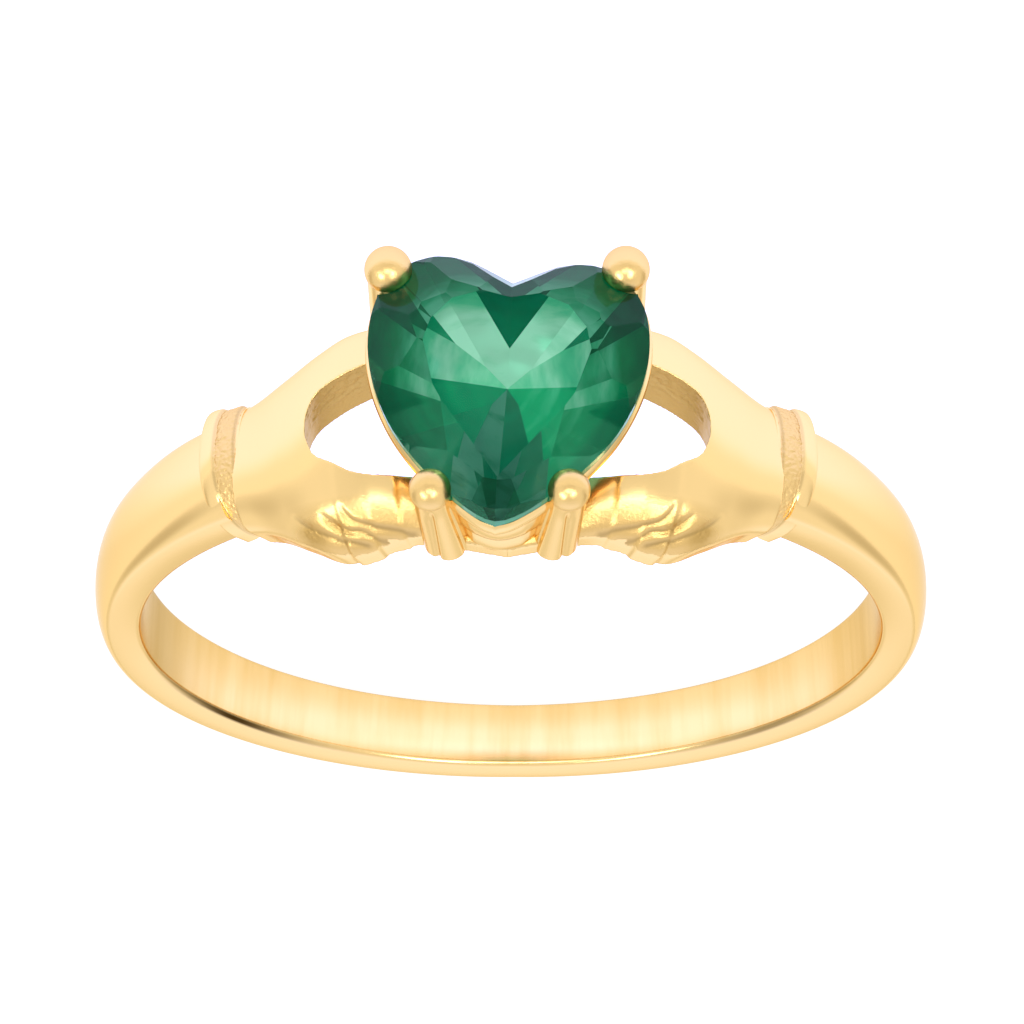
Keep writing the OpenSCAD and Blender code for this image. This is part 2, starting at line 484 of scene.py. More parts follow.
def fill_ramp(ramp: bpy.types.ColorRamp, rows: Rows) -> None:
    """Gives a colour ramp its stops.

    Args:
        ramp: the ramp, still with its first two stops.
        rows: a place and a linear colour for each stop.
    """
    for stop, (at, *colour) in zip(ramp.elements, (rows[0], rows[-1])):
        stop.position, stop.color = at, (*colour, 1)
    for at, *colour in rows[1:-1]:
        ramp.elements.new(at).color = (*colour, 1)


def new_material(name: str) -> tuple[bpy.types.Material, bpy.types.NodeTree]:
    """Makes an empty material.

    Args:
        name: its name.

    Returns:
        The material and its node tree.
    """
    material = bpy.data.materials.new(name)
    material.use_nodes = True
    material.node_tree.nodes.clear()
    return material, material.node_tree


@dataclass(frozen=True)
class PolishedYellowGold:
    """14-carat yellow gold, investment cast, tumbled and hand polished.

    The eye sees a soft mirror, painted shade in the creases and along some edges, dull sandy skin
    where the polisher can't reach, and fine lines along the finger inside the band.
    """

    polished: str = "F5D292"
    # Colour of the painted shade in creases, along some edges and over some darker places
    crease: str = "453012"
    skin: str = "D6B06A"
    line: str = "ECC57E"
    rim: str = "F3E6CA"
    polish_rough: float = 0.15
    skin_rough: float = 0.36
    # Size and height of a grain of sand, and how much sand darkens the polish
    sand_mm: float = 0.075
    sand_high_mm: float = 0.03
    sand_tint: float = 0.3
    # Length of the buff's waves, and how much they roughen the polish
    wave_mm: float = 2.2
    wave_rough: float = 0.06
    # Spacing of the lines, their pitch along the finger and the part of the noise that shows
    line_mm: float = 0.9
    line_run: float = 12.0
    line_part: tuple[float, float] = (0.42, 0.66)

    def make(self) -> bpy.types.Material:
        """Builds the material.

        Returns:
            The material, which reads the marks cast, grain and drawn, and the mark of painted shade.
        """
        material, tree = new_material("polished_yellow_gold")
        place = add_node(tree, "TexCoord").outputs["Object"]
        cast, grain, crease, drawn = (
            add_node(tree, "Attribute", {"attribute_name": name}).outputs["Fac"]
            for name in ("cast", "grain", "crease", "drawn"))
        # Sand of the investment, about 0.075 mm a grain, drawn coarser than it is
        sand = add_node(tree, "TexNoise", Vector=place, Scale=1 / (self.sand_mm * MM), Detail=3.0, Roughness=0.6)
        # Slow waves that the buff leaves in the polish, some millimetres long
        wave = add_node(tree, "TexNoise", Vector=place, Scale=1 / (self.wave_mm * MM), Detail=2.0)
        # Lines along the finger: stretched along the hole's axis, narrow round it
        narrow = 1 / (self.line_mm * MM)
        stretch = add_node(tree, "Mapping", Vector=place, Scale=(narrow, narrow, self.line_run))
        lines = add_node(tree, "TexNoise", Vector=stretch, Scale=1.0, Detail=4.0, Roughness=0.6)
        streak = add_node(tree, "MapRange", Value=lines, From_Min=self.line_part[0], From_Max=self.line_part[1])
        brushed = add_node(tree, "Math", "MULTIPLY", in0=streak, in1=drawn)
        sanded = add_node(tree, "Math", "MULTIPLY_ADD", in0=grain, in1=self.sand_tint, in2=cast)
        # Colour: polish, then dull skin, drawn lines, and painted shade in the creases and along some edges
        tint = linear(self.polished)
        for share, code in ((sanded, self.skin), (brushed, self.line), (crease, self.crease)):
            tint = add_node(tree, "Mix", COLOURS, in0=share, in6=tint, in7=linear(code))
        dull = add_node(tree, "Math", "MAXIMUM", in0=cast, in1=grain)
        rough = add_node(tree, "MapRange", Value=dull, To_Min=self.polish_rough, To_Max=self.skin_rough)
        worn = add_node(tree, "Math", "MULTIPLY_ADD", in0=wave, in1=self.wave_rough, in2=rough)
        sandy = add_node(tree, "Math", "MULTIPLY", in0=sand, in1=dull)
        bump = add_node(tree, "Bump", Strength=0.5, Distance=self.sand_high_mm * MM, Height=sandy)
        shader = add_node(tree, "BsdfPrincipled", Base_Color=tint, Metallic=1.0,
                          Specular_Tint=linear(self.rim), Roughness=worn, Normal=bump)
        add_node(tree, "OutputMaterial", Surface=shader)
        return material


class Tone(Enum):
    """How bright a pavilion facet's painted reflection is, as a place on the stone's colour ramp."""

    GREY = 0.0
    DARK = 0.15
    DEEP = 0.3
    GREEN = 0.45
    VIVID = 0.65
    PALE = 0.88
    MINT = 1.0


@dataclass(frozen=True)
class FacetedGreenStone:
    """Emerald-green created stone, cut and polished facet by facet, over its own foil.

    The crown is clear tinted glass. The pavilion is glass from outside; from inside it is a foil
    with painted reflections, each facet in its own painted green, with faint veils in it.
    """

    clear: str = "DAF5EA"
    edge: str = "3A7E68"
    glint: str = "3E6452"
    bending: float = 1.62
    # Painted reflection tones of the facets, from dark to pale
    ramp: Sequence[tuple[float, str]] = (
        (0.0, "4F8A7A"), (0.07, "026C50"), (0.15, "027558"), (0.3, "038A66"),
        (0.45, "04986E"), (0.65, "06B27C"), (0.82, "6CD8AE"), (1.0, "CCFCE6"),
    )
    # Width of the veils, how many are packed into it lengthwise, and how far they shift the painted tone
    veil_mm: float = 1.1
    veil_stretch: float = 3.5
    veil_shift: float = 0.09
    # Heights, as shares of the pavilion's, between which a facet's painted tone darkens towards the girdle,
    # painted shade, and down to what
    girdle_shade: tuple[float, float, float] = (0.45, 0.8, 0.58)
    # The foil glows faintly and evenly: painted light for light that has gone round inside
    painted_glow: float = 0.2

    def make(self) -> bpy.types.Material:
        """Builds the material.

        Returns:
            The material, which reads the marks of painted reflection tone, pavilion, height, rim and girdle.
        """
        material, tree = new_material("faceted_green_stone")
        place = add_node(tree, "TexCoord").outputs["Object"]
        tone, pavilion, height, rim, frost = (
            add_node(tree, "Attribute", {"attribute_name": name}).outputs["Fac"]
            for name in ("tone", "pavilion", "height", "rim", "girdle"))
        inside = add_node(tree, "NewGeometry").outputs["Backfacing"]
        # Veils in the stone, about 1.1 mm long and drawn out to streaks
        fine = 1 / (self.veil_mm * MM)
        stretch = add_node(tree, "Mapping", Vector=place, Rotation=(0.3, 0.5, 0.4),
                           Scale=(fine, self.veil_stretch * fine, fine))
        veil = add_node(tree, "TexNoise", Vector=stretch, Scale=1.0, Detail=4.0, Roughness=0.5, Distortion=0.25)
        shift = add_node(tree, "MapRange", Value=veil, From_Min=0.3, From_Max=0.7,
                         To_Min=-self.veil_shift, To_Max=self.veil_shift)
        # A facet's painted tone darkens where it nears the girdle: painted shade
        start, end, deepest = self.girdle_shade
        girdle_shade = add_node(tree, "MapRange", EASED, Value=height, From_Min=start, From_Max=end,
                        To_Min=1.0, To_Max=deepest)
        depth = add_node(tree, "Math", "MULTIPLY_ADD", in0=tone, in1=girdle_shade, in2=shift)
        green = add_node(tree, "ValToRGB", Fac=depth)
        fill_ramp(green.color_ramp, [(at, *linear(code)[:3]) for at, code in self.ramp])
        # The crown is greener than the table, and its facets are tinted darker green by their place along the
        # finger: painted shade
        body = add_node(tree, "Mix", COLOURS, in0=rim, in6=linear(self.clear), in7=linear(self.edge))
        glass = add_node(tree, "BsdfPrincipled", Base_Color=body, Metallic=0.0, Roughness=0.0,
                         IOR=self.bending, Transmission_Weight=1.0, Specular_Tint=linear(self.glint))
        # The foil's colours are painted reflections: each facet's green stands in for light that the cut throws
        # back
        painted_foil = add_node(tree, "BsdfPrincipled", Base_Color=green, Metallic=0.25, Roughness=0.1,
                        Emission_Color=green, Emission_Strength=self.painted_glow)
        back = add_node(tree, "Math", "MULTIPLY", in0=inside, in1=pavilion)
        # The girdle is left frosted and shows the foil's painted green from outside too
        covered = add_node(tree, "Math", "MAXIMUM", in0=back, in1=frost)
        mix = add_node(tree, "MixShader", in0=covered, in1=glass, in2=painted_foil)
        add_node(tree, "OutputMaterial", Surface=mix)
        return material


@dataclass(frozen=True)
class LightTable:
    """Opal acrylic over lamps, as under small goods in a studio.

    It takes the shadows away, and glows most before the ring, so that the gold's round
    backs run from pale to full yellow.
    """

    opal: str = "5A5A5A"
    # Bright middle along Y in metres, and how much wider the glow is along X
    middle_y: float = -0.0065
    wide: float = 1.9
    # Distance from the bright middle in metres, then the light's colour
    glow: Rows = ((0.0, 1.16, 1.22, 1.8), (0.007, 1.13, 1.17, 1.65), (0.0088, 1.0, 1.07, 1.25),
                  (0.011, 0.94, 0.93, 0.95), (0.03, 0.93, 0.92, 0.91))
    # A second lamp stands inside the hoop: its middle along Y, reach and light
    inner: tuple[float, float, tuple[float, float, float]] = (0.0018, 0.0078, (0.2, 0.3, 0.85))

    def make(self) -> bpy.types.Material:
        """Builds the material.

        Returns:
            The material.
        """
        material, tree = new_material("opal_acrylic_light_table")
        place = add_node(tree, "TexCoord").outputs["Object"]
        spread = add_node(tree, "Mapping", {"vector_type": "TEXTURE"}, Vector=place,
                          Location=(0, self.middle_y, 0), Scale=(self.wide, 1, 1))
        away = add_node(tree, "VectorMath", "LENGTH", in0=spread)
        last = self.glow[-1][0]
        share = add_node(tree, "Math", "DIVIDE", in0=away, in1=last)
        ramp = add_node(tree, "ValToRGB", Fac=share)
        fill_ramp(ramp.color_ramp, [(at / last, *colour) for at, *colour in self.glow])
        inner_y, reach, level = self.inner
        near = add_node(tree, "VectorMath", "DISTANCE", in0=place, in1=(0, inner_y, 0))
        lamp = add_node(tree, "MapRange", EASED, Value=near, From_Min=0.6 * reach, From_Max=reach,
                        To_Min=1.0, To_Max=0.0)
        both = add_node(tree, "VectorMath", "MULTIPLY_ADD", in0=lamp, in1=level, in2=ramp)
        shader = add_node(tree, "BsdfPrincipled", Base_Color=linear(self.opal), Roughness=0.6,
                          Emission_Color=both, Emission_Strength=1.0)
        add_node(tree, "OutputMaterial", Surface=shader)
        return material


# ---- laying down


@dataclass(frozen=True)
class Bed:
    """How the upright ring in millimetres lies in the frame."""

    matrix: Matrix
    hole_r: float

    @classmethod
    def of_frame(cls, record: dict) -> "Bed":
        """Reads the finger hole's middle, direction and radius.

        Args:
            record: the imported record.

        Returns:
            The bed.
        """
        hole = next(m for m in record["mounts"] if m["name"] == "finger_hole")
        x = Vector((-1, 0, 0))
        y = -Vector(hole["axis"]).normalized()
        turn = Matrix((x, y, x.cross(y))).transposed().to_4x4()
        matrix = Matrix.Translation(hole["pos_m"]) @ turn @ Matrix.Scale(MM, 4)
        return cls(matrix, hole["dims"]["r_mm"])

    def point(self, p: Sequence[float]) -> Vector:
        """A bench point in the frame."""
        return self.matrix @ Vector(p)

    def finish(self, obj: Piece, material: bpy.types.Material, slot: Slot, node: Node,
               sharp: float = 35.0) -> None:
        """Lays a piece down, dresses it and gives it to the frame.

        Args:
            obj: piece on the bench.
            material: its finish.
            slot: the record's slot for it; not used.
            node: the solid that it stands for.
            sharp: edges that turn by more degrees than this stay sharp.
        """
        obj.matrix_world = self.matrix
        only(obj)
        bpy.ops.object.transform_apply(location=True, rotation=True, scale=True)
        bpy.ops.object.shade_smooth_by_angle(angle=math.radians(sharp))
        obj.data.materials.clear()
        obj.data.materials.append(material)
        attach(obj, "root")
        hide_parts(node.value)
        obj.data.calc_loop_triangles()
        log.info("%s: %d triangles", obj.name, len(obj.data.loop_triangles))


# ---- the metal


@dataclass
class HoopProfile:
    """Closed D outline in the plane x = 0: flat inside, straight sides and a round crown."""

    width: float
    height: float
    side: float
    level: float
    vertices: int
    corner: float = 0.0

    def build(self, name: str) -> Piece:
        """Draws the outline from a circle whose lower half is cut away and squared.

        Args:
            name: its name.

        Returns:
            The outline, filled.
        """
        obj = add_circle(name, self.vertices, 0.5, "NOTHING", (0, math.pi / 2, 0))
        bpy.ops.object.transform_apply(location=False, rotation=True, scale=False)
        with editing(obj):
            pick(obj, lambda p: p[:, 2] < -1e-4)
            bpy.ops.mesh.delete(type="VERT")
            select_all()
            resize(1, self.width, 2 * (self.height - self.side))
            pick(obj, lambda p: p[:, 2] < 1e-4)
            extrude_up(-self.side)
            bpy.ops.mesh.edge_face_add()
            if self.corner:
                bpy.ops.mesh.bevel(offset=self.corner, segments=3, affect="VERTICES")
            select_all()
            bpy.ops.transform.translate(value=(0, 0, self.level + self.side))
        return obj


@dataclass
class Band:
    """Plain band from cuff to cuff, which widens and thickens from its foot."""

    hole_r: float
    foot_w: float = 1.55
    shoulder_w: float = 2.3
    foot_t: float = 1.05
    shoulder_t: float = 1.35
    side_share: float = 0.66
    corner: float = 0.13
    start: float = 41.0
    steps: int = 72
    vertices: int = 72
    # Angle from the stone, then shares of the way from the foot to the shoulder in width
    # and in thickness
    taper: Rows = ((30, 1, 1.05), (46, 1, 1), (65, 0.78, 0.3), (90, 0.52, -0.05), (135, 0.14, 0.35), (180, 0, 0))
    # Painted shade along the inner front edge and far inside, and a painted dark reflection along the
    # foot's outer edge: angle from the stone, spread and strength, left and then right
    inner_edge_shade: Rows = ((130, 15, 1.0), (135, 16, 0.6))
    dull: Rows = ((104, 13, 0.34), (104, 13, 0.1))
    foot_edge_dark_reflection: Rows = ((180, 20, 0.3), (180, 20, 0.3))

    def build(self) -> Piece:
        """Spins the outline from the foot to a cuff, sizes each station and mirrors it.

        Returns:
            The band.
        """
        band = HoopProfile(self.foot_w, self.foot_t, self.side_share * self.foot_t, self.hole_r,
                           self.vertices, self.corner).build("band")
        reach = 180 - self.start
        with editing(band):
            resize(1, 1, -1)
            spin(self.steps, reach)
            # The spin may turn either way
            side = math.copysign(1, np.mean([v.co.x for v in bmesh.from_edit_mesh(band.data).verts]))
            for k in range(1, self.steps + 1):
                at = 180 - reach * k / self.steps
                w, t = read_rows(self.taper, np.array([at]))[0]
                pick(band, lambda p, at=at: np.abs(angle_from_stone(p) - at) < 0.3)
                wide = 1 + (self.shoulder_w / self.foot_w - 1) * w
                thick = 1 + (self.shoulder_t / self.foot_t - 1) * t
                a = math.radians(at)
                resize(thick, wide, thick, (side * self.hole_r * math.sin(a), 0, self.hole_r * math.cos(a)))
        mirror_x(band)
        close_up(band)
        self.dress(band)
        return band

    def dress(self, band: Piece) -> None:
        """Marks the drawn lines inside, painted shade along the inner front edge and far inside, and a painted
        dark reflection on the foot.

        Args:
            band: the band.
        """
        p, n = places_of(band), normals_of(band)
        radius = np.hypot(p[:, 0], p[:, 2])
        front = p[:, 1] < 0
        # The buff doesn't reach far inside, where the lines along the finger stay
        inside = radius < self.hole_r + 0.02
        mark(band, "drawn", inside.astype(float))
        # Painted shade along the inner edge at the front, most on one side
        edge = front & (np.abs(n[:, 1] + 0.65) < 0.3) & (radius < self.hole_r + self.corner + 0.005)
        # A painted dark reflection along the outer edge of the foot
        outer = front & (np.abs(n[:, 1] + 0.55) < 0.25) & (radius > self.hole_r + 0.4)
        # Far inside, the band also gets painted shade, most on the left
        places = ((edge, self.inner_edge_shade), (inside, self.dull), (outer, self.foot_edge_dark_reflection))
        mark(band, "crease", sum(where * self.strength(p, rows) for where, rows in places))

    def strength(self, p: np.ndarray, rows: Rows) -> np.ndarray:
        """Reads how strong a mark is.

        Args:
            p: places on the band.
            rows: angle from the stone, spread and strength, left and then right.

        Returns:
            The strength at each place.
        """
        turn = angle_from_stone(p)
        left, right = (share * bell(turn, middle, width) for middle, width, share in rows)
        return np.where(p[:, 0] < 0, left, right)


@dataclass
class Cuff:
    """One cuff: a sunk, grained ring next to the hand and a plain roll next to the band."""

    band: Band
    edge: float = 43.6
    length: float = 1.0
    rise: float = 0.19
    flare: float = 0.28
    flare_front: float = 0.55
    round_front: float = 0.22
    # Place of the crest across, and how full the round is
    crest: float = 0.55
    power: float = 2.1
    # Length that is spun, and how much of it lies before the band's side, as shares
    spun: float = 1.1
    before: float = 1.08
    steps: int = 56
    vertices: int = 320
    # Height of the sand in the sunk ring, and the number of ridges over its width
    grain: float = 0.016
    ridges: int = 31
    # Where the sunk ring begins and ends, and the middles and widths of its lines of painted shade
    sunk: Sequence[float] = (-0.02, 0.04, 0.51, 0.56)
    lines: Rows = ((0.56, 0.025), (0.03, 0.03))
    # Strength of the painted shade in the sunk ring and along its lines
    sunk_shade_strength: tuple[float, float] = (0.07, 0.22)
    # Place from the wrist to the band, then shares of the rise and of the flare
    swell: Rows = ((0, 0.3, 0.6), (0.06, 0.62, 0.74), (0.25, 0.68, 0.78), (0.5, 0.68, 0.8), (0.54, 0.68, 0.8),
                   (0.57, 0.85, 0.9), (0.62, 0.98, 0.96), (0.76, 1.06, 1), (0.9, 1.0, 0.98),
                   (0.955, 0.8, 0.9), (0.985, 0.4, 0.7), (1, 0.0, 0.5), (1.01, -0.3, 0.3))

    def build(self, name: str) -> Piece:
        """Spins a plain outline over the cuff's length and swells it.

        Args:
            name: the cuff's name.

        Returns:
            The cuff.
        """
        level, width, thick = self.band.hole_r, self.band.shoulder_w, self.band.shoulder_t
        arc = math.degrees(self.length / (level + thick))
        cuff = HoopProfile(1.0, 1.0, 0.5, level, self.vertices).build(name)
        with editing(cuff):
            spin(self.steps, arc * self.spun)
        p = places_of(cuff)
        angle = self.edge - arc * self.before + angle_from_stone(p)
        outer = np.hypot(p[:, 0], p[:, 2]) > level + 0.1
        place, q = (angle - (self.edge - arc)) / arc, p[:, 1] + 0.5
        swell = read_rows(self.swell, place)
        rise, flare = swell[:, 0] * self.rise, swell[:, 1] * self.flare
        low, high = -width / 2 - self.flare_front * flare, width / 2 + flare
        side = self.round_front * thick, self.band.side_share * thick + rise
        h = crown(q, *side, thick + rise, np.full(len(q), self.crest), self.power)
        sunk = fade(place, *self.sunk[:1:-1]) * fade(place, *self.sunk[:2]) * outer
        lines = outer * sum(bell(place, middle, wide) for middle, wide in self.lines)
        # Fine ridges along the band, and sand between them
        for i in np.nonzero(sunk > 0)[0]:
            spot = Vector((place[i] * 13, q[i] * 40, 0.3))
            sway = 1.5 * noise.noise(Vector((place[i] * 2, q[i] * 7, 1.0)))
            ridge = math.sin(q[i] * 2 * self.ridges * math.pi + sway)
            knurl = 0.12 + 1.5 * max(0.0, 0.3 - q[i])
            h[i] += self.grain * sunk[i] * (knurl * ridge + 1.2 * noise.noise(spot) - 0.3)
        r, a = level + h * outer, np.radians(angle)
        put(cuff, np.stack([r * np.sin(a), low + (high - low) * q, r * np.cos(a)], -1))
        close_up(cuff)
        mark(cuff, "grain", sunk)
        # Painted shade in the sunk ring and along the lines at its edges
        mark(cuff, "crease", self.sunk_shade_strength[0] * sunk + self.sunk_shade_strength[1] * lines)
        return cuff


@dataclass
class Hands:
    """One of the two hands, which hold the stone between thumb and fingers."""

    hole_r: float
    height: float = 1.9
    front: float = 2.65
    back: float = 2.3
    opening_half: float = 4.35
    wrist: float = 38.4
    voxel: float = 0.036
    # How far from the opening's outline its edges begin to be polished round, and over
    # what width that sets in
    rounded: tuple[float, float] = (0.14, 0.06)
    # The plug that cuts the opening: number and height of its steps
    plug_steps: int = 84
    plug_step: float = 0.054
    # The fingers lie further front than this, between these places across
    fingers_y: float = -1.3
    fingers_x: tuple[float, float] = (1.6, 5.0)
    # Height of the grit on the walls and in the hollows, and how dull the fingers are
    grit: float = 0.024
    dimple: float = 0.012
    satin: float = 0.72
    # Steps and outline of the arch, and how many degrees it runs past the middle uncut
    steps: int = 170
    vertices: int = 300
    past: float = 3.0
    # Angle from the stone, then shares of the front reach, back reach and height: front
    # edge, back edge, height at the front edge, at the back edge and at the crest, and
    # the crest's place from front to back
    backs: Rows = (
        (0, 1, 0.92, 0.22, 0.3, 0.42, 0.5), (6, 0.93, 0.93, 0.24, 0.34, 0.46, 0.5),
        (12, 0.86, 0.98, 0.22, 0.6, 0.76, 0.62), (16, 0.865, 1, 0.2, 0.74, 0.94, 0.68),
        (20.5, 0.915, 0.955, 0.18, 0.76, 1, 0.68), (24.5, 0.925, 0.845, 0.18, 0.7, 0.99, 0.66),
        (30, 0.77, 0.7, 0.24, 0.58, 0.88, 0.6), (36, 0.6, 0.57, 0.34, 0.5, 0.76, 0.54),
        (44, 0.5, 0.5, 0.42, 0.48, 0.7, 0.5),
    )
    # Opening: share of its half length, then of the front reach and of the back reach
    opening: Rows = ((0, 0.45, 0.66), (0.54, 0.45, 0.63), (0.74, 0.42, 0.54), (0.87, 0.31, 0.43),
                     (0.95, 0.23, 0.32), (0.99, 0.1, 0.17))
    # Fingers lie like shingles, each a little further front and lower. Upper edges of the
    # second, third and little finger as rows of X and Y, after the step's depth and width
    edges: Sequence[tuple[float, float, Rows]] = (
        (0.1, 0.17, ((3.6, -1.66), (3.5, -1.84), (3.26, -2.03), (2.85, -2.12), (2.45, -2.17), (1.9, -2.24))),
        (0.12, 0.12, ((4.02, -1.78), (3.75, -2.0), (3.45, -2.16), (3.1, -2.2), (2.8, -2.31), (2.3, -2.33))),
        (0.11, 0.12, ((4.6, -1.68), (4.2, -1.98), (3.8, -2.2), (3.45, -2.33), (3.1, -2.4), (2.9, -2.43))),
    )
    # Hollows between the knuckles: middle, half length, half width and depth, then the way
    # that they run
    hollows: Rows = ((3.56, -2.1, 0.29, 0.11, 0.045), (4.16, -2.1, 0.31, 0.1, 0.045))
    way: tuple[float, float] = (0.83, 0.56)
    # The finger ends stand out at the front: from this place outwards, by this much
    ends: Rows = ((2.27, 0.06), (2.87, 0.07), (3.49, -0.1))

    def carve(self, x: np.ndarray, y: np.ndarray) -> tuple[np.ndarray, np.ndarray, np.ndarray]:
        """Works out how the fingers are carved.

        Args:
            x: places across, all on one side.
            y: places along the finger.

        Returns:
            Depth of the edges and hollows, how much each place lies on a crease, which gets painted shade, and
            how much in a hollow.
        """
        depth, crease, hollow = (np.zeros(len(x)) for _ in range(3))
        for step, width, rows in self.edges:
            path = even_path(np.array(rows), 60)
            near, before, along = np.full(len(x), 9.0), np.zeros(len(x)), np.zeros(len(x))
            for k in range(len(path) - 1):
                a, run = path[k], path[k + 1] - path[k]
                s = np.clip(((x - a[0]) * run[0] + (y - a[1]) * run[1]) / (run @ run), 0, 1)
                away = np.hypot(x - a[0] - s * run[0], y - a[1] - s * run[1])
                closer = away < near
                near = np.where(closer, away, near)
                before = np.where(closer, run[0] * (y - a[1]) - run[1] * (x - a[0]), before)
                along = np.where(closer, (k + s) / (len(path) - 1), along)
            front = np.where(before > 0, near, -near)
            ramp = fade(front, -0.03, 0.02)
            ends = fade(along, 0, 0.14) * fade(along, 1.02, 0.96)
            depth += step * ramp * ends * np.exp(-np.clip(front, 0, 9) / width)
            crease = np.maximum(crease, ends * bell(front, 0.01, 0.03))
        way_x, way_y = self.way
        for mx, my, length, half, deep in self.hollows:
            u = (way_x * (x - mx) + way_y * (y - my)) / length
            v = (-way_y * (x - mx) + way_x * (y - my)) / half
            spot = 1 / (1 + (u**2 + v**2) ** 2.2)
            depth += deep * spot
            hollow = np.maximum(hollow, spot)
        return depth, crease, hollow

    def slab(self) -> Piece:
        """Shapes the hand's back.

        Returns:
            A closed arch that runs a little past the middle.
        """
        slab = HoopProfile(1.0, 1.0, 0.5, self.hole_r, self.vertices).build("hand")
        with editing(slab):
            spin(self.steps, self.wrist + self.past)
        p = places_of(slab)
        turn, q = angle_from_stone(p) - self.past, p[:, 1] + 0.5
        outer = np.hypot(p[:, 0], p[:, 2]) > self.hole_r + 0.1
        rows = read_rows(self.backs, np.abs(turn))
        low, high = -self.front * rows[:, 0], self.back * rows[:, 1]
        h = crown(q, *(self.height * rows[:, k] for k in (2, 3, 4)), rows[:, 5])
        # About where the back lies, which is a little wider than the hole
        across = self.hole_r * np.sin(np.radians(np.abs(turn))) * 1.13
        for x0, out in self.ends:
            low = low - out * fade(across, x0, x0 + 0.06)
        y, a = low + (high - low) * q, np.radians(turn)
        across = np.abs((self.hole_r + h) * np.sin(a))
        fingers = (y < self.fingers_y) & (across > self.fingers_x[0]) & (across < self.fingers_x[1]) & outer
        h[fingers] -= self.carve(across[fingers], y[fingers])[0]
        r = self.hole_r + h * outer
        put(slab, np.stack([r * np.sin(a), y, r * np.cos(a)], -1))
        close_up(slab)
        return slab

    def rim(self) -> np.ndarray:
        """Draws the opening's outline.

        Returns:
            Its points, as seen along Z.
        """
        rows = np.array(self.opening)
        front = np.stack([rows[:, 0] * self.opening_half, -rows[:, 1] * self.front], -1)
        end = [[self.opening_half, 0.02 * self.back]]
        back = np.stack([rows[:, 0] * self.opening_half, rows[:, 2] * self.back], -1)[::-1]
        half = np.vstack([front, end, back])
        other = (half * [-1, 1])[::-1]
        return even_path(np.vstack([half[:-1], other[:-1]]), 400, closed=True)

    def from_rim(self, p: np.ndarray) -> np.ndarray:
        """Measures how far places lie from the opening's outline, as seen along Z.

        Args:
            p: the places.

        Returns:
            A distance for each.
        """
        near = np.full(len(p), 9.0)
        for at in self.rim():
            near = np.minimum(near, np.hypot(p[:, 0] - at[0], p[:, 1] - at[1]))
        return near

    def opening_cutter(self) -> Piece:
        """Draws the opening's outline up into a plug, in fine steps.

        Returns:
            The plug.
        """
        outline = self.rim()
        plug = add_circle("plug", len(outline))
        put(plug, at_height(outline, self.hole_r - 2))
        with editing(plug):
            for _ in range(self.plug_steps):
                extrude_up(self.plug_step)
            face_out()
        return plug

    def build(self, name: str) -> Piece:
        """Smooths the casting, cuts the opening and rounds its edges.

        Args:
            name: the hand's name.

        Returns:
            The hand, which ends in the middle.
        """
        hand = self.slab()
        hand.name = hand.data.name = name
        apply_modifier(hand, "REMESH", mode="VOXEL", voxel_size=self.voxel, adaptivity=0.0)
        apply_modifier(hand, "SMOOTH", factor=0.5, iterations=7)
        cut(hand, self.opening_cutter())
        near = self.from_rim(places_of(hand))
        reach, full = self.rounded
        group = hand.vertex_groups.new(name="edges")
        for i in np.nonzero(near < reach)[0]:
            group.add([int(i)], min(1.0, (reach - near[i]) / full), "REPLACE")
        apply_modifier(hand, "SMOOTH", factor=0.5, iterations=10, vertex_group="edges")
        self.dress_walls(hand)
        with editing(hand):
            bpy.ops.mesh.bisect(plane_co=(0, 0, 0), plane_no=(1, 0, 0), use_fill=True, clear_inner=True)
        return hand

    def dress_walls(self, hand: Piece) -> None:
        """Marks the fingers and the opening's as-cast walls, pits both, and paints shade in the fingers' creases
        and hollows and on the walls.

        Args:
            hand: the hand.
        """
        p, n = places_of(hand), normals_of(hand)
        near = self.from_rim(p)
        radius = np.hypot(p[:, 0], p[:, 2])
        upright = np.abs((n[:, 0] * p[:, 0] + n[:, 2] * p[:, 2]) / radius)
        wall = fade(near, 0.16, 0.08) * fade(np.abs(n[:, 2]), 0.55, 0.2)
        rough = wall * np.clip((radius - self.hole_r - 0.7) / 0.12, 0.25, 1)
        for i in np.nonzero(wall > 0)[0]:
            grit = noise.noise(Vector(p[i]) * 6) + 0.7 * noise.noise(Vector(p[i]) * 12)
            p[i] += n[i] * self.grit * rough[i] * grit
        _, crease, hollow = self.carve(np.abs(p[:, 0]), p[:, 1])
        top = (upright > 0.2) & (radius > self.hole_r + 0.4) & (p[:, 1] < self.fingers_y)
        for i in np.nonzero(top & (hollow > 0.3))[0]:
            p[i] += n[i] * self.dimple * hollow[i] * noise.noise(Vector(p[i]) * 13)
        put(hand, p)
        # The buff hardly reaches the fingers, which stay satin
        across = np.abs(p[:, 0])
        fronts = 0.55 * fade(p[:, 1], -1.55, -1.75) + 0.45 * fade(p[:, 1], -1.82, -1.97)
        satin = self.satin * top * fronts * fade(across, self.fingers_x[1], 4.2)
        mark(hand, "cast", np.maximum.reduce([wall, 0.9 * top * hollow, satin]))
        mark(hand, "grain", np.maximum(rough, 0.8 * top * hollow))
        # Painted shade in the fingers' creases and hollows, and on the opening's walls, more towards its ends
        corner = 0.12 + 0.12 * fade(across, 3.6, 4.1)
        mark(hand, "crease", np.maximum(top * np.maximum(0.36 * crease, 0.17 * hollow), corner * wall))


